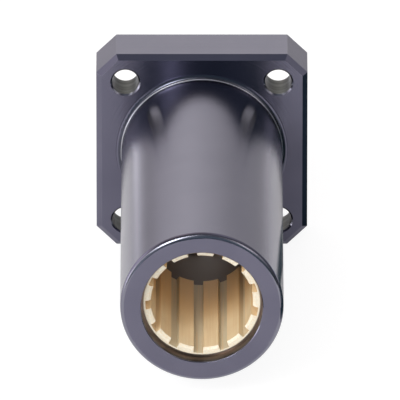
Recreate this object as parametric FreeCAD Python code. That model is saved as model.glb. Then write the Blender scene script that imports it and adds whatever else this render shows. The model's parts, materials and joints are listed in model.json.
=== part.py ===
"""Flanged twin linear bearing block for a 20 mm shaft.

A one-piece aluminium housing, turned and milled from solid: a long barrel stands on a
square mounting flange. A grooved plastic liner is pressed into each end of its bore.

Frame: millimetres. The shaft runs along Y. The origin is where the bore axis meets the
flange's seat face, which is the face that the barrel stands on. The barrel points to -Y,
its free end is the front, and the flange is 10 mm thick towards +Y. +Z is up.
"""
import FreeCAD, Part
import os

Vec = FreeCAD.Vector

# Shaft and its two liners
SHAFT_DIAMETER = 20.0
SHAFT_CLEARANCE = 0.04            # liner bore over shaft, on the diameter
LINER_WALL = 1.48                 # from the bore of the pads to the outside
LINER_LENGTH = 30.0
LINER_EDGE_CHAMFER = 0.15         # broken outer edge at both ends of a liner
PAD_COUNT = 13                    # bearing pads, and as many grooves between them
PAD_LEAD_IN = 0.45                # chamfer at both ends of the pads, to lead the shaft in
GROOVE_WIDTH = 1.9
GROOVE_WEB = 0.4                  # wall left behind each groove
GROOVE_ANGLE = 100.1              # degrees from +X, seen from the front: first groove
SLIT_WIDTH = 0.8                  # the first groove is slit, so that the liner closes up

# Housing: bore
LINER_FIT = 0.02                  # seat over liner, on the diameter
MOUTH_STEP = 0.4                  # how far the mouth is wider than the seat, all round
MOUTH_DEPTH = 2.4
MOUTH_EDGE_CHAMFER = 0.15
SHOULDER_GAP = 1.3                # round the shaft, between the liners, which its small step stops

# Housing: barrel
BARREL_DIAMETER = 32.0
BARREL_LENGTH = 70.0              # from the flange's seat face to the front end
BARREL_EDGE_RADIUS = 1.0
ROOT_FILLET_RADIUS = 0.9

# Housing: flange
FLANGE_OVERHANG = 5.0             # past the barrel on each of the four sides
FLANGE_THICKNESS = 10.0
FLANGE_CORNER_CUT = 4.0           # leg of each cut corner
FLANGE_BEVEL = 1.0                # bevel round the seat face

# Housing: four screw holes, for cap screws put in from the back
SCREW_TO_EDGE = 5.8               # screw axis to the two nearest sides of the flange
SCREW_HOLE_DIAMETER = 5.3
SCREW_HOLE_CHAMFER = 0.35
SCREW_HEAD_DIAMETER = 9.5
SCREW_HEAD_DEPTH = 3.6

# What follows from the sizes above
LINER_BORE = SHAFT_DIAMETER + SHAFT_CLEARANCE
LINER_OUTER_DIAMETER = LINER_BORE + 2 * LINER_WALL
SEAT_DIAMETER = LINER_OUTER_DIAMETER + LINER_FIT
MOUTH_DIAMETER = SEAT_DIAMETER + 2 * MOUTH_STEP
SHOULDER_DIAMETER = SHAFT_DIAMETER + 2 * SHOULDER_GAP
FLANGE_SIDE = BARREL_DIAMETER + 2 * FLANGE_OVERHANG
SCREW_OFFSET = FLANGE_SIDE / 2 - SCREW_TO_EDGE      # screw axis to both middle planes
FRONT_Y = -BARREL_LENGTH
BACK_Y = FLANGE_THICKNESS
OVERSHOOT = 1.0                   # how far a cutting tool runs past the face that it opens


def turned(*edges):
    """Solid of revolution about the bore axis, from the closed outline of its half section."""
    face = Part.Face(Part.Wire(edges))
    return face.revolve(Vec(0, 0, 0), Vec(0, 1, 0), 360)


def lines(*points):
    """Straight edges from each (radius, y) point to the next."""
    corners = [Vec(radius, y, 0) for radius, y in points]
    return [Part.makeLine(a, b) for a, b in zip(corners, corners[1:])]


def quarter(start, end, centre):
    """Quarter circle about centre from start to end, all three as (radius, y) points."""
    start, end, centre = (Vec(*point, 0) for point in (start, end, centre))
    middle = (start + end) / 2 - centre
    on_arc = centre + middle.normalize() * start.distanceToPoint(centre)
    return Part.Arc(start, on_arc, end).toShape()


def barrel():
    """Round body with its rounded front edge and the fillet that runs out on the flange."""
    radius = BARREL_DIAMETER / 2
    edge, fillet = BARREL_EDGE_RADIUS, ROOT_FILLET_RADIUS
    inside_y = FLANGE_THICKNESS / 2
    face_rim, side_front = (radius - edge, FRONT_Y), (radius, FRONT_Y + edge)
    side_back, fillet_rim = (radius, -fillet), (radius + fillet, 0)
    return turned(
        *lines((0, FRONT_Y), face_rim),
        quarter(face_rim, side_front, centre=(radius - edge, FRONT_Y + edge)),
        *lines(side_front, side_back),
        quarter(side_back, fillet_rim, centre=(radius + fillet, -fillet)),
        *lines(fillet_rim, (radius + fillet, inside_y), (0, inside_y), (0, FRONT_Y)),
    )


def flange():
    """Square plate with cut corners and a bevel all round its seat face."""
    half = FLANGE_SIDE / 2
    short = half - FLANGE_CORNER_CUT
    corners = [(short, half), (half, short), (half, -short), (short, -half),
               (-short, -half), (-half, -short), (-half, short), (-short, half)]
    points = [Vec(x, 0, z) for x, z in corners]
    plate = Part.Face(Part.makePolygon(points + points[:1])).extrude(Vec(0, FLANGE_THICKNESS, 0))
    seat_edges = [edge for edge in plate.Edges
                  if all(abs(vertex.Point.y) < 1e-6 for vertex in edge.Vertexes)]
    return plate.makeChamfer(FLANGE_BEVEL, seat_edges)


def liner_places():
    """(front, back) Y of the front liner and of the rear liner."""
    front_start = FRONT_Y + MOUTH_DEPTH
    rear_end = BACK_Y - MOUTH_DEPTH
    return (front_start, front_start + LINER_LENGTH), (rear_end - LINER_LENGTH, rear_end)


def bore():
    """Everything that is bored along the axis: two mouths, two liner seats, the shoulder."""
    mouth, seat, shoulder = MOUTH_DIAMETER / 2, SEAT_DIAMETER / 2, SHOULDER_DIAMETER / 2
    flare = MOUTH_EDGE_CHAMFER
    (front_seat, front_stop), (rear_stop, rear_seat) = liner_places()
    return turned(*lines(
        (0, FRONT_Y - OVERSHOOT), (mouth + flare + OVERSHOOT, FRONT_Y - OVERSHOOT),
        (mouth, FRONT_Y + flare), (mouth, front_seat),
        (seat, front_seat), (seat, front_stop),
        (shoulder, front_stop), (shoulder, rear_stop),
        (seat, rear_stop), (seat, rear_seat),
        (mouth, rear_seat), (mouth, BACK_Y - flare),
        (mouth + flare + OVERSHOOT, BACK_Y + OVERSHOOT), (0, BACK_Y + OVERSHOOT),
        (0, FRONT_Y - OVERSHOOT),
    ))


def screw_hole():
    """One stepped screw hole on the bore axis: chamfer, through hole and head recess."""
    hole, head = SCREW_HOLE_DIAMETER / 2, SCREW_HEAD_DIAMETER / 2
    chamfer = SCREW_HOLE_CHAMFER
    head_y = BACK_Y - SCREW_HEAD_DEPTH
    return turned(*lines(
        (0, -OVERSHOOT), (hole + chamfer + OVERSHOOT, -OVERSHOOT), (hole, chamfer),
        (hole, head_y), (head, head_y), (head, BACK_Y + OVERSHOOT), (0, BACK_Y + OVERSHOOT),
        (0, -OVERSHOOT),
    ))


def flanged_housing():
    """Barrel and flange in one piece, bored through and drilled for four screws."""
    body = barrel().fuse(flange()).removeSplitter()
    tools = [bore()]
    for x in (-SCREW_OFFSET, SCREW_OFFSET):
        for z in (-SCREW_OFFSET, SCREW_OFFSET):
            tools.append(screw_hole().translated(Vec(x, 0, z)))
    return body.cut(tools)


def groove(first):
    """Tool for one lengthwise groove, standing at +X, and the slit of the first groove."""
    floor = LINER_OUTER_DIAMETER / 2 - GROOVE_WEB
    tool = Part.makeBox(floor, LINER_LENGTH, GROOVE_WIDTH, Vec(0, 0, -GROOVE_WIDTH / 2))
    tool = tool.common(Part.makeCylinder(floor, LINER_LENGTH, Vec(0, 0, 0), Vec(0, 1, 0)))
    if first:
        slit = Part.makeBox(LINER_OUTER_DIAMETER, LINER_LENGTH, SLIT_WIDTH,
                            Vec(0, 0, -SLIT_WIDTH / 2))
        tool = tool.fuse(slit)
    return tool


def liner():
    """Plastic sleeve from Y = 0 to its length, with pads and grooves along its bore."""
    inner, outer = LINER_BORE / 2, LINER_OUTER_DIAMETER / 2
    edge, lead, end = LINER_EDGE_CHAMFER, PAD_LEAD_IN, LINER_LENGTH
    sleeve = turned(*lines(
        (inner, lead), (inner + lead, 0), (outer - edge, 0), (outer, edge),
        (outer, end - edge), (outer - edge, end), (inner + lead, end), (inner, end - lead),
        (inner, lead),
    ))
    grooves = []
    for index in range(PAD_COUNT):
        angle = GROOVE_ANGLE + index * 360 / PAD_COUNT
        tool = groove(first=index == 0)
        tool.rotate(Vec(0, 0, 0), Vec(0, -1, 0), angle)
        grooves.append(tool)
    return sleeve.cut(grooves)


def front_liner():
    """Liner in the barrel's free end, with its slit at the top."""
    piece = liner()
    piece.translate(Vec(0, liner_places()[0][0], 0))
    return piece


def rear_liner():
    """The same liner turned end for end and pressed in from the back."""
    piece = liner()
    piece.rotate(Vec(0, 0, 0), Vec(0, 0, 1), 180)
    piece.translate(Vec(0, liner_places()[1][1], 0))
    return piece


def main():
    os.makedirs("parts", exist_ok=True)
    for build in (flanged_housing, front_liner, rear_liner):
        build().exportStep(f"parts/{build.__name__}.step")


main()
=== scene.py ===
"""Looks for the flanged twin linear bearing block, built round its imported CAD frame.

Lengths are in metres, in the frame of the CAD model. The bore runs along Y, the barrel's free
end points to -Y, the flange's back faces +Y, and +Z is up. The origin is where the bore axis
meets the flange's seat face.

A mask is 0 where its surface isn't and 1 where it is. A pair of numbers in a finish, such as
cloud_fade or slant_from, says where a mask starts from 0 and where it is full.
"""
from __future__ import annotations

import json
import logging
import math
from dataclasses import dataclass
from enum import Enum
from typing import Union

import bmesh
import bpy
from mathutils import Matrix, Vector

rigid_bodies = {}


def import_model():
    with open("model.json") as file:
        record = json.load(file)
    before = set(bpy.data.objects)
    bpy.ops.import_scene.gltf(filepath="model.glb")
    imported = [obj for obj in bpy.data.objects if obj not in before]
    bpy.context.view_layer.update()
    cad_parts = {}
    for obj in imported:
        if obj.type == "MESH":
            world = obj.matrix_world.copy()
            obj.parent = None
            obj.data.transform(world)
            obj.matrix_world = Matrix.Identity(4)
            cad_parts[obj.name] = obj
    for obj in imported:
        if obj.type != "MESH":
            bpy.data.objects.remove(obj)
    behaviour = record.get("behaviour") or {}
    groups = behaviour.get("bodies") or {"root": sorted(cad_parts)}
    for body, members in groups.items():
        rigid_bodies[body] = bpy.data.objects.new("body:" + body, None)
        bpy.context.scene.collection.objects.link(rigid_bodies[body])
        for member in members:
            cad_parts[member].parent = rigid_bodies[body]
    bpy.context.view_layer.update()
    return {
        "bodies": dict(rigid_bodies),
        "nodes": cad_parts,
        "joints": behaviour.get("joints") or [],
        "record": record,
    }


log = logging.getLogger("bearing_block")

Colour = tuple[float, float, float]
Pair = tuple[float, float]
Point = tuple[float, float, float]
Socket = bpy.types.NodeSocket
Value = Union[Socket, float, Colour, Vector]

MM = 0.001
WHITE: Colour = (1.0, 1.0, 1.0)


class Slot(Enum):
    """The record's material slots."""

    HOUSING = "housing"
    LINER = "liner"


class Kind(Enum):
    """Types of the sockets of a node group."""

    FLOAT = "NodeSocketFloat"
    VECTOR = "NodeSocketVector"
    COLOUR = "NodeSocketColor"


class Board:
    """Puts nodes into one node tree and joins them, so that a finish reads as a list of steps."""

    def __init__(self, tree: bpy.types.NodeTree) -> None:
        """Keeps the tree that the nodes go into."""
        self.tree = tree

    def add(self, kind: str, **settings: object) -> bpy.types.Node:
        """Adds one node.

        Args:
            kind: The node's type name.
            settings: Attributes of the node, set as they are named.

        Returns:
            The new node.
        """
        node = self.tree.nodes.new(kind)
        for name, value in settings.items():
            setattr(node, name, value)
        return node

    def feed(self, node: bpy.types.Node, socket: str | int, value: Value) -> None:
        """Gives an input of a node its value, or joins an output to it.

        Args:
            node: The node.
            socket: Name or number of the input.
            value: A number, a colour, a vector or another node's output.
        """
        target = node.inputs[socket]
        if isinstance(value, Socket):
            self.tree.links.new(value, target)
        elif isinstance(value, tuple) and len(value) == 3 and target.type == "RGBA":
            target.default_value = (*value, 1.0)
        else:
            target.default_value = value

    def use(self, group: bpy.types.NodeTree, values: dict[str, Value]) -> bpy.types.Node:
        """Adds a node group and gives it its inputs.

        Args:
            group: The node group.
            values: What its inputs get, by name.

        Returns:
            The new node.
        """
        node = self.add("ShaderNodeGroup", node_tree=group)
        for name, value in values.items():
            self.feed(node, name, value)
        return node

    def split(self, vector: Value) -> tuple[Socket, Socket, Socket]:
        """Takes a vector apart.

        Args:
            vector: The vector.

        Returns:
            Its parts along X, Y and Z.
        """
        node = self.add("ShaderNodeSeparateXYZ")
        self.feed(node, 0, vector)
        along_x, along_y, along_z = node.outputs
        return along_x, along_y, along_z

    def calc(self, operation: str, *values: Value) -> Socket:
        """Works out one number from others.

        Args:
            operation: Name of the Math node's operation.
            values: Numbers or outputs, in the order of the node's inputs.

        Returns:
            The result.
        """
        node = self.add("ShaderNodeMath", operation=operation)
        for index, value in enumerate(values):
            self.feed(node, index, value)
        return node.outputs[0]

    def product(self, first: Value, *others: Value) -> Value:
        """Multiplies numbers. The product of masks is what all of them cover.

        Args:
            first: The first number.
            others: The numbers that it is multiplied by.

        Returns:
            The product.
        """
        for other in others:
            first = self.calc("MULTIPLY", first, other)
        return first

    def above(self, value: Value, limit: Value) -> Socket:
        """Mask of where a number is above a limit.

        Args:
            value: The number.
            limit: The limit.

        Returns:
            The mask.
        """
        return self.calc("GREATER_THAN", value, limit)

    def below(self, value: Value, limit: Value) -> Socket:
        """Mask of where a number is below a limit.

        Args:
            value: The number.
            limit: The limit.

        Returns:
            The mask.
        """
        return self.calc("LESS_THAN", value, limit)

    def apart(self, value: Value, other: Value) -> Socket:
        """How far two numbers lie apart.

        Args:
            value: The first number.
            other: The second number.

        Returns:
            Their difference, without its sign.
        """
        return self.calc("ABSOLUTE", self.calc("SUBTRACT", value, other))

    def span(self, value: Value, low: Value, high: Value, out_low: float = 0.0,
             out_high: float = 1.0) -> Socket:
        """Turns one range of a number smoothly into another.

        Args:
            value: The number.
            low: Where the first range starts.
            high: Where the first range ends. It may be less than low.
            out_low: Result at low.
            out_high: Result at high.

        Returns:
            The result, kept inside the second range.
        """
        node = self.add("ShaderNodeMapRange", interpolation_type="SMOOTHSTEP")
        for name, item in zip(("Value", "From Min", "From Max", "To Min", "To Max"),
                              (value, low, high, out_low, out_high)):
            self.feed(node, name, item)
        return node.outputs["Result"]

    def radius(self, across: Value, up: Value) -> Socket:
        """Distance from an axis that runs along Y.

        Args:
            across: Distance from it along X.
            up: Distance from it along Z.

        Returns:
            The distance.
        """
        squares = [self.product(side, side) for side in (across, up)]
        return self.calc("SQRT", self.calc("ADD", *squares))

    def blend(self, share: Value, first: Value, second: Value) -> Socket:
        """Mixes two colours.

        Args:
            share: How much of the second colour, from 0 to 1.
            first: Colour at 0.
            second: Colour at 1.

        Returns:
            The mixed colour.
        """
        node = self.add("ShaderNodeMix", data_type="RGBA")
        colour_a, colour_b, colour_result = 6, 7, 2
        self.feed(node, 0, share)
        self.feed(node, colour_a, first)
        self.feed(node, colour_b, second)
        return node.outputs[colour_result]

    def emboss(self, relief: Socket) -> Socket:
        """Turns relief into a surface direction.

        Args:
            relief: Height over the surface, in millimetres.

        Returns:
            The direction, for a shader's Normal.
        """
        bump = self.add("ShaderNodeBump")
        self.feed(bump, "Strength", 1.0)
        self.feed(bump, "Distance", MM)
        self.feed(bump, "Height", relief)
        return bump.outputs[0]

    def bands(self, along: Value, pitch: float, detail: float) -> Socket:
        """Random bands across a line.

        Args:
            along: Place on the line.
            pitch: About how far the bands lie apart.
            detail: How many finer layers of bands lie on them.

        Returns:
            A value from 0 to 1, mostly near 0.5.
        """
        noise = self.add("ShaderNodeTexNoise", noise_dimensions="1D")
        self.feed(noise, "W", self.product(along, 1 / pitch))
        self.feed(noise, "Scale", 1.0)
        self.feed(noise, "Detail", detail)
        return noise.outputs["Fac"]


def new_group(name: str, inputs: dict[str, Kind], outputs: dict[str, Kind]
              ) -> tuple[bpy.types.NodeTree, Board, bpy.types.Node, bpy.types.Node]:
    """Starts a shader node group.

    Args:
        name: Name of the group.
        inputs: Socket type of each input, by name.
        outputs: Socket type of each output, by name.

    Returns:
        The group, a board to build it on, its input node and its output node.
    """
    group = bpy.data.node_groups.new(name, "ShaderNodeTree")
    for direction, sockets in (("INPUT", inputs), ("OUTPUT", outputs)):
        for socket, kind in sockets.items():
            group.interface.new_socket(socket, in_out=direction, socket_type=kind.value)
    board = Board(group)
    return group, board, board.add("NodeGroupInput"), board.add("NodeGroupOutput")


def new_material(name: str) -> tuple[bpy.types.Material, Board, bpy.types.Node]:
    """Starts a material.

    Args:
        name: Name of the material.

    Returns:
        The material, a board to build it on, and its shader.
    """
    material = bpy.data.materials.new(name)
    material.use_nodes = True
    return material, Board(material.node_tree), material.node_tree.nodes["Principled BSDF"]


class Effects:
    """Surface effects that the finishes share, each built once as a node group."""

    fine_detail = 2.0
    broad_detail = 3.0
    bevel_samples = 6
    edge_turn: Pair = (0.995, 0.90)

    def __init__(self) -> None:
        """Builds the groups."""
        self.grain = self.build_grain()
        self.worn_and_highlit_edges = self.build_worn_and_highlit_edges()

    def build_grain(self) -> bpy.types.NodeTree:
        """Fine grain and broad cloudiness of a surface.

        Returns:
            The group, with outputs Fine and Broad.
        """
        group, board, given, out = new_group(
            "surface_grain",
            {"Place": Kind.VECTOR, "Fine Size": Kind.FLOAT, "Broad Size": Kind.FLOAT},
            {"Fine": Kind.FLOAT, "Broad": Kind.FLOAT})
        for name, detail in (("Fine", self.fine_detail), ("Broad", self.broad_detail)):
            noise = board.add("ShaderNodeTexNoise")
            board.feed(noise, "Vector", given.outputs["Place"])
            scale = board.calc("DIVIDE", 1.0, given.outputs[f"{name} Size"])
            board.feed(noise, "Scale", scale)
            board.feed(noise, "Detail", detail)
            board.feed(out, name, noise.outputs["Fac"])
        return group

    def build_worn_and_highlit_edges(self) -> bpy.types.NodeTree:
        """Mask of the outer edges, where a finish is thinner and a painted highlight lies.

        Returns:
            The group, with output Wear And Highlight.
        """
        group, board, given, out = new_group(
            "worn_and_highlit_edges", {"Width": Kind.FLOAT, "Break Up": Kind.FLOAT}, {"Wear And Highlight": Kind.FLOAT})
        rounded = board.add("ShaderNodeBevel", samples=self.bevel_samples)
        board.feed(rounded, "Radius", given.outputs["Width"])
        plain = board.add("ShaderNodeNewGeometry")
        turned = board.add("ShaderNodeVectorMath", operation="DOT_PRODUCT")
        board.feed(turned, 0, rounded.outputs[0])
        board.feed(turned, 1, plain.outputs["Normal"])
        edge = board.span(turned.outputs["Value"], *self.edge_turn)
        board.feed(out, "Wear And Highlight", board.product(edge, given.outputs["Break Up"]))
        return group


@dataclass(frozen=True)
class Spot:
    """What a finish knows about the spot that it shades. Each value is an output on its board.

    Attributes:
        place: Position on the piece.
        x: Place along X.
        y: Place along the bore axis.
        z: Place along Z.
        radius: Distance from the bore axis.
        depth: How far the spot lies inside the nearer end of the bore.
        facing: How far the surface faces along the axis, from 0 to 1.
        fine: Random value of the fine grain.
        broad: Random value of the broad cloudiness.
    """

    place: Socket
    x: Socket
    y: Socket
    z: Socket
    radius: Socket
    depth: Socket
    facing: Socket
    fine: Socket
    broad: Socket

    @classmethod
    def read(cls, board: Board, effects: Effects, grain: float, cloud: float,
             ends: Pair) -> Spot:
        """Adds the nodes that work these values out.

        Args:
            board: The board to build on.
            effects: The shared effects.
            grain: Size of the fine grain.
            cloud: Size of the broad clouds.
            ends: Where the front end and the back end lie along the bore axis.

        Returns:
            The values.
        """
        texture = board.add("ShaderNodeTexCoord")
        place = texture.outputs["Object"]
        x, y, z = board.split(place)
        front, back = ends
        depth = board.calc("MINIMUM", board.calc("SUBTRACT", y, front),
                           board.calc("SUBTRACT", back, y))
        _, along, _ = board.split(texture.outputs["Normal"])
        surface = board.use(effects.grain,
                            {"Place": place, "Fine Size": grain, "Broad Size": cloud})
        return cls(place, x, y, z, board.radius(x, z), depth, board.calc("ABSOLUTE", along),
                   surface.outputs["Fine"], surface.outputs["Broad"])


@dataclass(frozen=True)
class ToolMarks:
    """Rings that turning left on the housing.

    Attributes:
        pitch: About how far the rings lie apart.
        detail: How many finer layers of rings lie on them.
        height: Their height, in millimetres.
        flat_from: How far a surface faces along the axis where it turns from round to flat.
        seat_ring_radius: Radius of the single ring on the seat face.
        seat_ring_width: Half its width.
        seat_ring_depth: Its depth, in millimetres.
        seat_facing: How far the seat face, at least, faces along the axis.
        seat_to_y: How far back it lies, at most.
    """

    pitch: float = 0.3 * MM
    detail: float = 2.0
    height: float = 0.010
    flat_from: Pair = (0.5, 0.8)
    seat_ring_radius: float = 17.0 * MM
    seat_ring_width: float = 0.12 * MM
    seat_ring_depth: float = 0.012
    seat_facing: float = 0.9
    seat_to_y: float = 1.0 * MM

    def all_over(self, board: Board, spot: Spot) -> Socket:
        """Faint rings: along the axis on round sides, outwards on flat faces.

        Args:
            board: The board to build on.
            spot: The spot.

        Returns:
            The random value of the rings, from 0 to 1.
        """
        along = board.add("ShaderNodeMix", data_type="FLOAT")
        factor, number_a, number_b = 0, 2, 3
        board.feed(along, factor, board.span(spot.facing, *self.flat_from))
        board.feed(along, number_a, spot.y)
        board.feed(along, number_b, spot.radius)
        return board.bands(along.outputs[0], self.pitch, self.detail)

    def on_seat(self, board: Board, spot: Spot) -> Socket:
        """Fine ring on the seat face, where the fillet runs out.

        Args:
            board: The board to build on.
            spot: The spot.

        Returns:
            Depth of the ring.
        """
        line = board.span(board.apart(spot.radius, self.seat_ring_radius), 0.0,
                          self.seat_ring_width, self.seat_ring_depth, 0.0)
        return board.product(line, board.product(board.above(spot.facing, self.seat_facing),
                                                 board.below(spot.y, self.seat_to_y)))

    def relief(self, board: Board, spot: Spot, relief: Socket) -> Socket:
        """Adds the rings to a surface.

        Args:
            board: The board to build on.
            spot: The spot.
            relief: Height of the surface before.

        Returns:
            Height of the surface with the rings.
        """
        relief = board.calc("MULTIPLY_ADD", self.all_over(board, spot), self.height, relief)
        return board.calc("SUBTRACT", relief, self.on_seat(board, spot))


@dataclass(frozen=True)
class RootPaintedLight:
    """Painted light on the fillet at the root of the barrel: a painted highlight and a painted
    dark band outside it.

    Attributes:
        from_y: Where the marks start along the bore axis.
        to_y: Where they end.
        line_radius: Radius of the painted highlight.
        line_fade: Distance from the middle of the line.
        band_inner: Radius at the painted dark band's inner edge.
        band_outer: Radius at its outer edge.
    """

    from_y: float = -0.8 * MM
    to_y: float = 0.05 * MM
    line_radius: float = 16.09 * MM
    line_fade: Pair = (0.08 * MM, 0.05 * MM)
    band_inner: Pair = (16.14 * MM, 16.20 * MM)
    band_outer: Pair = (16.72 * MM, 16.62 * MM)

    def masks(self, board: Board, spot: Spot) -> tuple[Value, Value]:
        """Finds the painted highlight and the painted dark band.

        Args:
            board: The board to build on.
            spot: The spot.

        Returns:
            Masks of the painted highlight, a bright line on the fillet, and of the painted dark
            band outside it, a painted dark reflection.
        """
        near = board.product(board.above(spot.y, self.from_y), board.below(spot.y, self.to_y))
        line = board.span(board.apart(spot.radius, self.line_radius), *self.line_fade)
        band = board.product(board.span(spot.radius, *self.band_inner),
                             board.span(spot.radius, *self.band_outer))
        return board.product(line, near), board.product(band, near)


@dataclass(frozen=True)
class Mouths:
    """Walls of the two mouths before the liners, with a painted reflection: dark at their edge
    and the liner's brown further in.

    Attributes:
        ends: Where the housing's ends lie along the bore axis.
        radius: A little more than the radius of the walls.
        from_depth: Where the walls start, behind the chamfer.
        to_depth: Where they end, at the liner.
        fade: Depth over which the painted reflection turns brown.
        edge: Colour of the painted dark reflection at their edge.
        inside: Colour of the painted reflection of the liner further in.
    """

    ends: Pair = (-70 * MM, 10 * MM)
    radius: float = 12.0 * MM
    from_depth: float = 0.16 * MM
    to_depth: float = 2.45 * MM
    fade: Pair = (0.5 * MM, 1.9 * MM)
    # Painted reflection: dark at the edge, the liner's brown further in
    edge: Colour = (0.085, 0.075, 0.077)
    inside: Colour = (0.25, 0.190, 0.155)

    def walls(self, board: Board, spot: Spot) -> Value:
        """Mask of the walls.

        Args:
            board: The board to build on.
            spot: The spot.

        Returns:
            The mask.
        """
        return board.product(board.below(spot.radius, self.radius),
                             board.above(spot.depth, self.from_depth),
                             board.below(spot.depth, self.to_depth))

    def tone(self, board: Board, spot: Spot) -> Socket:
        """Colour of the walls, a painted reflection.

        Args:
            board: The board to build on.
            spot: The spot.

        Returns:
            The colour.
        """
        return board.blend(board.span(spot.depth, *self.fade), self.edge, self.inside)


@dataclass(frozen=True)
class ScrewHoles:
    """The four screw holes and their head recesses: darker and greyer, with the drill's rings and
    painted light on their flanks.

    Attributes:
        offset: Distance of a hole's axis from both middle planes.
        radius: A little more than a hole's radius.
        rim_fade: Distance from a hole's axis at the edge of its rim.
        recess_radius: A little more than a head recess's radius.
        recess_from: Where the recesses start along the bore axis.
        recess_end: Where their walls end, just before the back face.
        ring_pitch: About how far the drill's rings lie apart.
        ring_detail: How many finer layers of rings lie on them.
        ring_fade: Random value at the edge of a pale ring.
        dark: Colour of the walls.
        pale: Colour of their pale rings.
        painted_flank_light: Colour of the painted light on their left and right flanks.
        flank_from: Distance to one side of the axis where the painted light starts.
        flank_share: How much of the painted light shows.
    """

    offset: float = 15.2 * MM
    radius: float = 2.72 * MM
    rim_fade: Pair = (3.4 * MM, 3.2 * MM)
    recess_radius: float = 4.85 * MM
    recess_from: float = 6.2 * MM
    recess_end: Pair = (9.95 * MM, 9.9 * MM)
    ring_pitch: float = 0.9 * MM
    ring_detail: float = 1.0
    ring_fade: Pair = (0.35, 0.62)
    dark: Colour = (0.085, 0.089, 0.088)
    pale: Colour = (0.150, 0.153, 0.155)
    # Painted light on the holes' left and right flanks
    painted_flank_light: Colour = (0.30, 0.30, 0.33)
    flank_from: Pair = (2.25 * MM, 2.6 * MM)
    flank_share: float = 0.6

    def away(self, board: Board, spot: Spot) -> Socket:
        """Distance from the axis of the nearest hole.

        Args:
            board: The board to build on.
            spot: The spot.

        Returns:
            The distance.
        """
        return board.radius(*(self.aside(board, place) for place in (spot.x, spot.z)))

    def aside(self, board: Board, place: Socket) -> Socket:
        """Distance from the axis of the nearest hole along X or Z.

        Args:
            board: The board to build on.
            place: Place along X or Z.

        Returns:
            The distance, negative on the side of the bore.
        """
        return board.calc("SUBTRACT", board.calc("ABSOLUTE", place), self.offset)

    def rim(self, board: Board, away: Socket) -> Socket:
        """Mask of the holes and of what lies close round them.

        Args:
            board: The board to build on.
            away: Distance from the axis of the nearest hole.

        Returns:
            The mask.
        """
        return board.span(away, *self.rim_fade)

    def walls(self, board: Board, spot: Spot, away: Socket, soft: float) -> Socket:
        """Mask of the walls of the holes and their head recesses.

        Args:
            board: The board to build on.
            spot: The spot.
            away: Distance from the axis of the nearest hole.
            soft: Half the width of the mask's soft edge.

        Returns:
            The mask.
        """
        hole = board.span(away, self.radius + soft, self.radius - soft)
        recess = board.product(
            board.span(away, self.recess_radius + soft, self.recess_radius - soft),
            board.span(spot.y, self.recess_from - soft, self.recess_from + soft),
            board.span(spot.y, *self.recess_end))
        return board.calc("MAXIMUM", hole, recess)

    def tone(self, board: Board, spot: Spot) -> Socket:
        """Colour of the walls, with the drill's rings and painted light on the flanks.

        Args:
            board: The board to build on.
            spot: The spot.

        Returns:
            The colour.
        """
        rings = board.bands(spot.y, self.ring_pitch, self.ring_detail)
        tone = board.blend(board.span(rings, *self.ring_fade), self.dark, self.pale)
        aside = board.calc("ABSOLUTE", self.aside(board, spot.x))
        # Painted light on the left and right flanks
        painted_flank_light = board.span(aside, *self.flank_from, 0.0, self.flank_share)
        return board.blend(painted_flank_light, tone, self.painted_flank_light)


@dataclass(frozen=True)
class Areas:
    """Masks of the housing's surfaces that differ from the rest.

    Attributes:
        slanted: Surfaces that face neither along the axis nor straight away from it.
        rim: The slanted ones at the barrel's free end and round the screw holes.
        bored: Walls of the bore.
        mouth: Walls of the mouths before the liners.
        drilled: Walls of the screw holes and their head recesses.
        painted_highlight: The painted highlight, a bright line at the root of the barrel.
        painted_dark_band: The painted dark reflection, a band outside that line.
    """

    slanted: Value
    rim: Value
    bored: Value
    mouth: Value
    drilled: Value
    painted_highlight: Value
    painted_dark_band: Value


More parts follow.
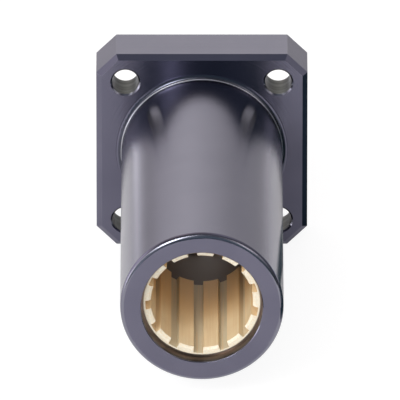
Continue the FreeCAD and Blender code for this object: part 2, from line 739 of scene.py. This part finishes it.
@dataclass(frozen=True)
class AnodisedAluminium:
    """Satin hard-anodised aluminium, with duller bored surfaces and brighter edges, partly worn
    and partly a painted highlight.
    """

    # Colours, in the order in which they lie on each other
    colour: Colour = (0.152, 0.149, 0.203)
    pale: Colour = (0.164, 0.160, 0.216)
    # Lighter edges and rims: partly wear, partly a painted highlight
    edge: Colour = (0.25, 0.25, 0.30)
    # Painted dark reflection at the root of the barrel
    painted_dark_band: Colour = (0.075, 0.078, 0.102)
    # Painted highlight at the root of the barrel
    painted_highlight: Colour = (0.93, 0.93, 0.97)
    bored: Colour = (0.205, 0.192, 0.200)
    # Roughness, and how much the grain and the clouds change it
    roughness: float = 0.17
    fine_roughness: float = 0.07
    broad_roughness: float = 0.05
    cut_roughness: float = 0.08
    painted_highlight_roughness: float = 0.38
    bored_roughness: float = 0.48
    # How near the mouths' walls and the holes' walls come to the roughness of the bore
    mouth_dullness: float = 0.5
    drilled_dullness: float = 0.6
    # How far turning draws reflections out along the axis, and the turn that this takes
    smear: float = 0.8
    smear_turn: float = 0.25
    # Fine grain, with its height in millimetres, and broad clouds
    grain: float = 0.16 * MM
    grain_height: float = 0.002
    cloud: float = 9 * MM
    cloud_fade: Pair = (0.35, 0.68)
    # Worn edges with a painted highlight on them: less or more of them, as the clouds have it
    wear_and_highlight_width: float = 0.22 * MM
    wear_and_highlight_clouds: Pair = (0.35, 0.65)
    wear_and_highlight_share: Pair = (0.35, 0.9)
    # Slanted surfaces, and those of them that are rims, which take the edge colour, partly wear
    # and partly a painted highlight
    slant_from: Pair = (0.02, 0.12)
    slant_to: Pair = (0.985, 0.93)
    rim_share: float = 0.8
    front_to_y: float = -60 * MM
    front_facing: Pair = (0.45, 0.75)
    front_radius: float = 13 * MM
    # A little more than the radius of the bore, and half the width of a mask's soft edge
    bore_radius: float = 11.7 * MM
    soft: float = 0.05 * MM
    tool_marks: ToolMarks = ToolMarks()
    root_painted_light: RootPaintedLight = RootPaintedLight()
    mouths: Mouths = Mouths()
    holes: ScrewHoles = ScrewHoles()

    def make(self, effects: Effects) -> bpy.types.Material:
        """Builds the material.

        Args:
            effects: The shared effects.

        Returns:
            The material.
        """
        material, board, shader = new_material("satin_anodised_aluminium")
        shader.inputs["Metallic"].default_value = 1.0
        shader.inputs["Anisotropic"].default_value = self.smear
        shader.inputs["Anisotropic Rotation"].default_value = self.smear_turn
        turning = board.add("ShaderNodeTangent", direction_type="RADIAL", axis="Y")
        board.feed(shader, "Tangent", turning.outputs[0])
        spot = Spot.read(board, effects, self.grain, self.cloud, self.mouths.ends)
        areas = self.areas(board, spot)
        board.feed(shader, "Base Color", self.tone(board, spot, areas, effects))
        board.feed(shader, "Roughness", self.spread(board, spot, areas))
        relief = board.product(spot.fine, self.grain_height)
        relief = self.tool_marks.relief(board, spot, relief)
        board.feed(shader, "Normal", board.emboss(relief))
        return material

    def areas(self, board: Board, spot: Spot) -> Areas:
        """Finds the surfaces that differ from the rest.

        Args:
            board: The board to build on.
            spot: The spot.

        Returns:
            Their masks.
        """
        slanted = board.product(board.span(spot.facing, *self.slant_from),
                                board.span(spot.facing, *self.slant_to))
        away = self.holes.away(board, spot)
        front = board.product(board.below(spot.y, self.front_to_y),
                              board.span(spot.facing, *self.front_facing),
                              board.above(spot.radius, self.front_radius))
        near = board.calc("MAXIMUM", front, self.holes.rim(board, away))
        bored = board.span(spot.radius, self.bore_radius + self.soft,
                           self.bore_radius - self.soft)
        painted_highlight, painted_dark_band = self.root_painted_light.masks(board, spot)
        return Areas(slanted, board.product(slanted, near), bored,
                     self.mouths.walls(board, spot),
                     self.holes.walls(board, spot, away, self.soft), painted_highlight, painted_dark_band)

    def tone(self, board: Board, spot: Spot, areas: Areas, effects: Effects) -> Socket:
        """Colour of the surface.

        Args:
            board: The board to build on.
            spot: The spot.
            areas: The masks.
            effects: The shared effects.

        Returns:
            The colour.
        """
        wear_and_highlight = board.use(effects.worn_and_highlit_edges, {
            "Width": self.wear_and_highlight_width,
            "Break Up": board.span(spot.broad, *self.wear_and_highlight_clouds, *self.wear_and_highlight_share)})
        tone = board.blend(board.span(spot.broad, *self.cloud_fade), self.colour, self.pale)
        # Layers: edges and rims, partly wear and partly a painted highlight; the painted dark
        # band and painted highlight at the root of the barrel; the mouths' walls with their
        # painted reflection; the holes' walls with painted light on their flanks
        for mask, layer in ((wear_and_highlight.outputs["Wear And Highlight"], self.edge),
                            (board.product(areas.rim, self.rim_share), self.edge),
                            (areas.painted_dark_band, self.painted_dark_band),
                            (areas.painted_highlight, self.painted_highlight),
                            (areas.bored, self.bored),
                            (areas.mouth, self.mouths.tone(board, spot)),
                            (areas.drilled, self.holes.tone(board, spot))):
            tone = board.blend(mask, tone, layer)
        return tone

    def spread(self, board: Board, spot: Spot, areas: Areas) -> Socket:
        """Roughness of the surface.

        Args:
            board: The board to build on.
            spot: The spot.
            areas: The masks.

        Returns:
            The roughness.
        """
        dull = board.calc("MAXIMUM", board.product(areas.mouth, self.mouth_dullness),
                          board.product(areas.drilled, self.drilled_dullness))
        dull = board.calc("MAXIMUM", areas.bored, dull)
        smooth = board.product(areas.slanted, board.calc("SUBTRACT", 1.0, dull))
        spread: Value = self.roughness - (self.fine_roughness + self.broad_roughness) / 2
        for share, change in ((spot.fine, self.fine_roughness),
                              (spot.broad, self.broad_roughness),
                              (dull, self.bored_roughness - self.roughness),
                              (smooth, self.cut_roughness - self.roughness),
                              (areas.painted_highlight, self.painted_highlight_roughness - self.cut_roughness)):
            spread = board.calc("MULTIPLY_ADD", share, change, spread)
        return spread


@dataclass(frozen=True)
class MouldedPlastic:
    """Matt cream bearing plastic: warm running pads, fine flecks of filler, painted shade in the
    grooves and deeper in the bore, and painted light on the upper end faces.
    """

    # Colours
    colour: Colour = (0.85, 0.685, 0.44)
    dark: Colour = (0.77, 0.56, 0.32)
    fleck: Colour = (0.56, 0.41, 0.23)
    end_face: Colour = (0.76, 0.705, 0.585)
    # Painted light on the upper end faces
    painted_light_end_face: Colour = (0.93, 0.88, 0.75)
    # Painted shade in the grooves, greyer towards the bottom, and deeper in the bore
    painted_groove_shade: Colour = (0.67, 0.585, 0.42)
    painted_side_groove_shade: Colour = (0.82, 0.63, 0.39)
    painted_deep_shade: Colour = (0.83, 0.55, 0.265)
    painted_deep_groove_shade: Colour = (0.48, 0.37, 0.24)
    # Outer ends of the liners along the bore axis, and the painted shade that deepens behind them
    ends: Pair = (-67.6 * MM, 7.6 * MM)
    deep_fade: Pair = (5 * MM, 20 * MM)
    deep_share: float = 0.8
    deep_groove_share: float = 0.45
    # Heights at which the grooves' painted shade turns grey and the end faces take painted light
    grey_below: Pair = (-5 * MM, -8.5 * MM)
    painted_light_above: Pair = (5 * MM, 8.5 * MM)
    # How far the end faces and the grooves' sides face along the axis, and the grooves' radius
    end_facing: Pair = (0.3, 0.6)
    end_share: float = 0.9
    side_facing: float = 0.3
    groove_radius: float = 10.3 * MM
    groove_soft: float = 0.15 * MM
    # Gloss
    ior: float = 1.5
    roughness: float = 0.46
    fine_roughness: float = 0.16
    # Fine grain, with its height in millimetres and its flecks, and broad clouds
    grain: float = 0.22 * MM
    grain_height: float = 0.005
    fleck_fade: Pair = (0.66, 0.76)
    fleck_share: float = 0.4
    cloud: float = 5 * MM
    cloud_fade: Pair = (0.38, 0.75)
    cloud_share: float = 0.55
    # Flow lines, with their height in millimetres
    flow: float = 0.34 * MM
    flow_stretch: Point = (1.0, 0.02, 1.0)
    flow_detail: float = 2.0
    flow_height: float = 0.008
    flow_fade: Pair = (0.48, 0.66)
    flow_share: float = 0.5

    def make(self, effects: Effects) -> bpy.types.Material:
        """Builds the material.

        Args:
            effects: The shared effects.

        Returns:
            The material.
        """
        material, board, shader = new_material("cream_bearing_plastic")
        shader.inputs["IOR"].default_value = self.ior
        spot = Spot.read(board, effects, self.grain, self.cloud, self.ends)
        flow = self.flow_lines(board, spot)
        board.feed(shader, "Base Color", self.tone(board, spot, flow))
        middle = self.roughness - self.fine_roughness / 2
        spread = board.calc("MULTIPLY_ADD", spot.fine, self.fine_roughness, middle)
        board.feed(shader, "Roughness", spread)
        relief = board.product(spot.fine, self.grain_height)
        relief = board.calc("MULTIPLY_ADD", flow, self.flow_height, relief)
        board.feed(shader, "Normal", board.emboss(relief))
        return material

    def flow_lines(self, board: Board, spot: Spot) -> Socket:
        """Fine lines that run lengthwise.

        Args:
            board: The board to build on.
            spot: The spot.

        Returns:
            The random value of the lines, from 0 to 1.
        """
        drawn_out = board.add("ShaderNodeMapping")
        board.feed(drawn_out, "Vector", spot.place)
        board.feed(drawn_out, "Scale", self.flow_stretch)
        noise = board.add("ShaderNodeTexNoise")
        board.feed(noise, "Vector", drawn_out.outputs[0])
        board.feed(noise, "Scale", 1 / self.flow)
        board.feed(noise, "Detail", self.flow_detail)
        return noise.outputs["Fac"]

    def tone(self, board: Board, spot: Spot, flow: Socket) -> Socket:
        """Colour of the surface.

        Args:
            board: The board to build on.
            spot: The spot.
            flow: Random value of the flow lines.

        Returns:
            The colour.
        """
        # Painted shade: darker deeper in the bore and in the grooves, darkest in the grooves far
        # in
        depth = board.span(spot.depth, *self.deep_fade, 0.0, self.deep_share)
        grooves = self.groove_mask(board, spot)
        painted_deep_groove_mask = board.product(grooves, depth, self.deep_groove_share)
        painted_groove_shade = board.blend(board.span(spot.z, *self.grey_below), self.painted_side_groove_shade,
                             self.painted_groove_shade)
        # Painted light on the upper end faces
        end_face = board.blend(board.span(spot.z, *self.painted_light_above), self.end_face,
                               self.painted_light_end_face)
        clouds = board.span(spot.broad, *self.cloud_fade, 0.0, self.cloud_share)
        tone: Value = self.colour
        for mask, layer in (
                (clouds, self.dark),
                (depth, self.painted_deep_shade),
                (grooves, painted_groove_shade),
                (painted_deep_groove_mask, self.painted_deep_groove_shade),
                (board.span(spot.facing, *self.end_facing, 0.0, self.end_share), end_face),
                (board.span(flow, *self.flow_fade, 0.0, self.flow_share), self.dark),
                (board.span(spot.fine, *self.fleck_fade, 0.0, self.fleck_share), self.fleck)):
            tone = board.blend(mask, tone, layer)
        return tone

    def groove_mask(self, board: Board, spot: Spot) -> Value:
        """Mask of the grooves' floors and walls.

        Args:
            board: The board to build on.
            spot: The spot.

        Returns:
            The mask.
        """
        outside = board.span(spot.radius, self.groove_radius - self.groove_soft,
                             self.groove_radius + self.groove_soft)
        return board.product(board.below(spot.facing, self.side_facing), outside)


@dataclass(frozen=True)
class Part:
    """Pieces of the object that share a material slot and its finish."""

    slot: Slot
    nodes: tuple[str, ...]

    def dress(self, frame: dict, material: bpy.types.Material) -> None:
        """Gives the CAD nodes their finish.

        Args:
            frame: The loaded frame.
            material: The finish.
        """
        for node in self.nodes:
            frame["nodes"][node].data.materials[0] = material
            log.info("%s: slot %s, finish %s", node, self.slot.value, material.name)


HOUSING = Part(Slot.HOUSING, ("flanged_housing",))
LINERS = Part(Slot.LINER, ("front_liner", "rear_liner"))


@dataclass(frozen=True)
class Panel:
    """One soft panel of light, far away.

    Attributes:
        toward: Direction of its middle.
        spread: How far from the middle its light has faded, in degrees.
        light: Its light at the middle.
    """

    toward: Point
    spread: float
    light: Colour


@dataclass(frozen=True)
class Softbox:
    """A square lamp that gives matt surfaces their light and leaves no glint on metal.

    Attributes:
        name: Its name.
        place: Where it hangs.
        power: Its power.
        light: Colour of its light.
        side: Its size.
    """

    name: str
    place: Point
    power: float
    light: Colour
    side: float = 0.5


@dataclass(frozen=True)
class Sheet:
    """A flat sheet on the stage that lies level.

    Attributes:
        name: Its name.
        middle: Where its middle lies, along X and Y.
        half: Half its size along X and Y.
    """

    name: str
    middle: Pair
    half: Pair

    def lay(self, height: float, material: bpy.types.Material) -> bpy.types.Object:
        """Lays the sheet.

        Args:
            height: Its height.
            material: Its material.

        Returns:
            The sheet, which isn't part of the object.
        """
        shape = bmesh.new()
        bmesh.ops.create_grid(shape, x_segments=2, y_segments=2, size=1.0)
        bmesh.ops.scale(shape, vec=(*self.half, 1.0), verts=shape.verts)
        bmesh.ops.translate(shape, vec=(*self.middle, height), verts=shape.verts)
        mesh = bpy.data.meshes.new(self.name)
        shape.to_mesh(mesh)
        shape.free()
        mesh.materials.append(material)
        piece = bpy.data.objects.new(self.name, mesh)
        bpy.context.scene.collection.objects.link(piece)
        return piece


PANELS = (
    Panel((-0.46, -0.66, 0.60), 7, (15.13, 15.12, 14.88)),
    Panel((0.00, 0.80, 0.60), 45, (0.34, 0.31, 0.27)),
    Panel((-0.99, -0.15, 0.02), 9, (2.73, 2.69, 2.72)),
    Panel((-0.97, 0.20, -0.12), 9, (2.37, 2.25, 2.19)),
    Panel((-0.86, 0.38, 0.34), 9, (1.85, 1.67, 1.79)),
    Panel((0.64, -0.54, 0.54), 7, (2.95, 2.76, 2.61)),
    Panel((-0.76, 0.65, -0.10), 9, (0.99, 0.99, 1.24)),
    Panel((-0.39, 0.89, -0.22), 6, (1.96, 1.95, 2.00)),
    Panel((-0.89, -0.26, 0.36), 9, (0.85, 0.83, 0.84)),
    Panel((-0.38, -0.90, 0.24), 15, (0.25, 0.27, 0.27)),
    Panel((0.00, -0.80, 0.60), 45, (0.00, 0.02, 0.06)),
    Panel((0.34, 0.89, -0.29), 6, (1.52, 1.48, 1.53)),
    Panel((0.76, 0.65, -0.10), 9, (0.56, 0.64, 0.74)),
    Panel((-0.58, 0.69, 0.43), 15, (0.20, 0.19, 0.20)),
    Panel((0.47, -0.82, 0.32), 15, (0.18, 0.20, 0.21)),
    Panel((0.89, -0.26, 0.36), 9, (0.47, 0.47, 0.48)),
    Panel((-0.11, 0.82, 0.57), 15, (0.17, 0.17, 0.16)),
    Panel((-0.46, -0.66, 0.60), 15, (0.16, 0.16, 0.15)),
    Panel((-0.15, 0.89, 0.42), 8, (0.53, 0.53, 0.50)),
    Panel((-0.79, 0.61, 0.07), 15, (0.14, 0.13, 0.17)),
    Panel((-0.28, 0.54, 0.79), 7, (0.78, 0.60, 0.61)),
    Panel((-0.61, -0.79, -0.06), 9, (0.34, 0.40, 0.44)),
    Panel((0.30, 0.64, 0.71), 15, (0.14, 0.14, 0.14)),
    Panel((-0.28, 0.54, 0.79), 15, (0.15, 0.14, 0.12)),
    Panel((0.21, 0.91, 0.35), 15, (0.14, 0.14, 0.13)),
    Panel((-0.33, 0.92, 0.21), 15, (0.13, 0.13, 0.13)),
    Panel((-0.68, -0.73, 0.01), 15, (0.11, 0.13, 0.14)),
    Panel((0.00, 1.00, -0.01), 15, (0.12, 0.12, 0.12)),
    Panel((-0.39, 0.89, 0.22), 8, (0.38, 0.37, 0.38)),
    Panel((-0.91, 0.29, 0.29), 15, (0.11, 0.10, 0.11)),
    Panel((-0.04, -0.89, 0.46), 15, (0.09, 0.11, 0.11)),
    Panel((0.38, 0.29, 0.88), 9, (0.27, 0.26, 0.33)),
    Panel((0.62, 0.62, 0.49), 15, (0.09, 0.10, 0.12)),
    Panel((-0.96, -0.25, 0.15), 15, (0.11, 0.09, 0.10)),
    Panel((0.54, 0.83, 0.12), 15, (0.10, 0.10, 0.10)),
    Panel((-0.66, 0.38, 0.65), 15, (0.11, 0.09, 0.10)),
    Panel((0.03, 0.36, 0.93), 15, (0.10, 0.09, 0.10)),
    Panel((0.64, -0.54, 0.54), 15, (0.10, 0.09, 0.08)),
    Panel((-0.76, -0.53, 0.38), 15, (0.09, 0.08, 0.08)),
    Panel((0.15, 0.89, 0.42), 8, (0.30, 0.30, 0.29)),
    Panel((0.45, 0.29, 0.85), 15, (0.08, 0.08, 0.09)),
    Panel((-0.29, 0.89, 0.34), 8, (0.28, 0.28, 0.26)),
    Panel((0.17, -0.98, 0.10), 15, (0.05, 0.09, 0.09)),
    Panel((0.00, 0.89, 0.45), 8, (0.26, 0.26, 0.25)),
    Panel((0.67, -0.74, -0.04), 15, (0.05, 0.08, 0.08)),
    Panel((0.00, -0.41, 0.91), 9, (0.16, 0.17, 0.18)),
    Panel((-0.15, -0.55, 0.82), 15, (0.05, 0.05, 0.06)),
    Panel((0.76, 0.17, 0.62), 15, (0.05, 0.05, 0.06)),
    Panel((0.88, 0.40, 0.26), 15, (0.03, 0.05, 0.07)),
    Panel((0.39, 0.89, 0.22), 8, (0.14, 0.14, 0.15)),
    Panel((0.44, 0.89, -0.08), 8, (0.13, 0.13, 0.13)),
    Panel((0.44, 0.89, 0.08), 8, (0.12, 0.12, 0.13)),
    Panel((0.29, 0.89, 0.34), 8, (0.06, 0.06, 0.06)),
    Panel((0.39, 0.89, -0.22), 6, (0.08, 0.06, 0.08)),
)

SOFTBOXES = (
    Softbox("high_front_softbox", (0.00, -0.80, 0.60), 2.60, (1.00, 0.99, 0.96)),
    Softbox("level_front_softbox", (0.00, -0.98, 0.20), 2.20, (1.00, 0.98, 0.96)),
    Softbox("high_left_softbox", (-0.46, -0.66, 0.60), 1.00, (1.00, 0.98, 0.94)),
    Softbox("low_left_softbox", (-0.75, -0.65, 0.10), 0.45, (1.00, 0.97, 0.95)),
)


@dataclass(frozen=True)
class Studio:
    """Plain pale floor, black cards and soft light all round.

    Attributes:
        floor: The floor.
        floor_z: Its height, level with the underside of the flange.
        floor_colour: Its colour where it lights the object and shows in reflections.
        seen_colour: Its colour to the camera, which gives the shadow its strength.
        seen_white: White that the camera sees on top of that.
        mirrored_white: White that reflections show on top of the floor's colour.
        cards: The black cards on the floor.
        card_colour: Their colour.
        card_roughness: Their roughness.
        card_lift: How far they lie over the floor.
        panels: The soft panels.
        softboxes: The lamps.
    """

    floor: Sheet = Sheet("floor", (0.0, -0.06), (0.16, 0.185))
    floor_z: float = -21.0 * MM
    floor_colour: Colour = (0.85, 0.85, 0.85)
    seen_colour: Colour = (0.22, 0.22, 0.22)
    seen_white: float = 0.87
    mirrored_white: float = 0.12
    cards: tuple[Sheet, ...] = (
        Sheet("black_card_1", (0.082, 0.003), (0.058, 0.011)),
        Sheet("black_card_2", (0.090, -0.054), (0.050, 0.046)),
    )
    card_colour: Colour = (0.035, 0.07, 0.09)
    card_roughness: float = 0.9
    card_lift: float = 0.2 * MM
    panels: tuple[Panel, ...] = PANELS
    softboxes: tuple[Softbox, ...] = SOFTBOXES

    def set_up(self) -> None:
        """Sets up the light, the floor and the cards."""
        self.hang_panels()
        self.lay_floor()
        self.lay_cards()
        self.set_softboxes()

    def hang_panels(self) -> None:
        """Hangs the soft panels in the world. The camera sees plain white behind them."""
        world = bpy.data.worlds.new("studio")
        bpy.context.scene.world = world
        world.use_nodes = True
        world.node_tree.nodes.clear()
        board = Board(world.node_tree)
        panel = self.panel_group()
        direction = board.add("ShaderNodeTexCoord").outputs["Generated"]
        total: Value = (0.0, 0.0, 0.0)
        for item in self.panels:
            total = board.use(panel, {
                "Direction": direction,
                "Toward": Vector(item.toward).normalized(),
                "Tightness": math.radians(item.spread) ** -2,
                "Light": item.light,
                "Others": total,
            }).outputs[0]
        seen = board.add("ShaderNodeLightPath").outputs["Is Camera Ray"]
        sky = board.add("ShaderNodeBackground")
        board.feed(sky, "Color", board.blend(seen, total, WHITE))
        board.feed(board.add("ShaderNodeOutputWorld"), 0, sky.outputs[0])
        log.info("studio: %d soft panels", len(self.panels))

    @staticmethod
    def panel_group() -> bpy.types.NodeTree:
        """Light of one soft panel, added to that of the others.

        Returns:
            The group.
        """
        group, board, given, out = new_group(
            "soft_panel",
            {"Direction": Kind.VECTOR, "Toward": Kind.VECTOR, "Tightness": Kind.FLOAT,
             "Light": Kind.COLOUR, "Others": Kind.COLOUR}, {"Sum": Kind.COLOUR})
        near = board.add("ShaderNodeVectorMath", operation="DOT_PRODUCT")
        board.feed(near, 0, given.outputs["Direction"])
        board.feed(near, 1, given.outputs["Toward"])
        away = board.calc("SUBTRACT", near.outputs["Value"], 1.0)
        strength = board.calc("EXPONENT", board.product(away, given.outputs["Tightness"]))
        lit = board.add("ShaderNodeVectorMath", operation="SCALE")
        board.feed(lit, 0, given.outputs["Light"])
        board.feed(lit, "Scale", strength)
        total = board.add("ShaderNodeVectorMath", operation="ADD")
        board.feed(total, 0, lit.outputs[0])
        board.feed(total, 1, given.outputs["Others"])
        board.feed(out, 0, total.outputs[0])
        return group

    def lay_floor(self) -> None:
        """Lays the floor, white to the camera, with the soft shadow on it."""
        material = bpy.data.materials.new("pale_floor")
        material.use_nodes = True
        material.node_tree.nodes.clear()
        board = Board(material.node_tree)
        ray = board.add("ShaderNodeLightPath").outputs
        seen = ray["Is Camera Ray"]
        matt = board.add("ShaderNodeBsdfDiffuse")
        board.feed(matt, "Color", board.blend(seen, self.floor_colour, self.seen_colour))
        white = board.add("ShaderNodeEmission")
        board.feed(white, "Color", WHITE)
        glow = board.product(seen, self.seen_white)
        glow = board.calc("MULTIPLY_ADD", ray["Is Glossy Ray"], self.mirrored_white, glow)
        board.feed(white, "Strength", glow)
        both = board.add("ShaderNodeAddShader")
        board.feed(both, 0, matt.outputs[0])
        board.feed(both, 1, white.outputs[0])
        board.feed(board.add("ShaderNodeOutputMaterial"), 0, both.outputs[0])
        self.floor.lay(self.floor_z, material)
        log.info("floor: %.2f m across", 2 * self.floor.half[0])

    def lay_cards(self) -> None:
        """Lays the black cards on the floor to the right. Only reflections show them."""
        material, board, shader = new_material("black_card")
        board.feed(shader, "Base Color", self.card_colour)
        board.feed(shader, "Roughness", self.card_roughness)
        for card in self.cards:
            piece = card.lay(self.floor_z + self.card_lift, material)
            piece.visible_camera = piece.visible_diffuse = piece.visible_shadow = False
            log.info("card: %s", card.name)

    def set_softboxes(self) -> None:
        """Sets up the lamps, each turned to the object."""
        for box in self.softboxes:
            lamp = bpy.data.lights.new(box.name, "AREA")
            lamp.size, lamp.energy, lamp.color = box.side, box.power, box.light
            stand = bpy.data.objects.new(box.name, lamp)
            place = Vector(box.place)
            turn = place.to_track_quat("Z", "Y").to_matrix().to_4x4()
            stand.matrix_world = Matrix.Translation(place) @ turn
            stand.visible_glossy = False
            bpy.context.scene.collection.objects.link(stand)
            log.info("softbox: %s", box.name)


@dataclass(frozen=True)
class Viewpoint:
    """The camera, at the photograph's angle.

    Attributes:
        elevation: Its height over the bore axis, in degrees.
        distance: How far it stands from the origin.
        pixels_per_metre: Scale at the origin.
        frame_pixels: Width and height of the frame.
        origin_pixel: Where the origin falls in the frame, from the left and from the top.
        sensor: Width of its sensor, in millimetres.
        clip: Nearest and farthest distance that it sees.
    """

    elevation: float = 26.083
    distance: float = 3.5
    pixels_per_metre: float = 5023.37
    frame_pixels: float = 400.0
    origin_pixel: Pair = (201.869, 151.265)
    sensor: float = 36.0
    clip: Pair = (0.1, 20.0)

    def set_up(self) -> None:
        """Makes the camera and points it."""
        tilt = math.radians(self.elevation)
        forward = Vector((0, math.cos(tilt), -math.sin(tilt)))
        right = Vector((1, 0, 0))
        up = right.cross(forward)
        middle = self.frame_pixels / 2
        aside = (self.origin_pixel[0] - middle) / self.pixels_per_metre
        above = (middle - self.origin_pixel[1]) / self.pixels_per_metre
        lens = bpy.data.cameras.new("camera")
        lens.sensor_width = self.sensor
        lens.lens = self.sensor * self.distance * self.pixels_per_metre / self.frame_pixels
        lens.clip_start, lens.clip_end = self.clip
        place = Matrix((right, up, -forward)).transposed().to_4x4()
        place.translation = -right * aside - up * above - forward * self.distance
        camera = bpy.data.objects.new("camera", lens)
        camera.matrix_world = place
        bpy.context.scene.collection.objects.link(camera)
        bpy.context.scene.camera = camera
        log.info("camera: %.2f degrees above the bore axis", self.elevation)


def main() -> None:
    """Builds the scene round the frame."""
    logging.basicConfig(level=logging.INFO, format="%(name)s: %(message)s")
    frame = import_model()
    bpy.context.scene.view_settings.view_transform = "Standard"
    Viewpoint().set_up()
    Studio().set_up()
    effects = Effects()
    HOUSING.dress(frame, AnodisedAluminium().make(effects))
    LINERS.dress(frame, MouldedPlastic().make(effects))


if __name__ == "__main__":
    main()
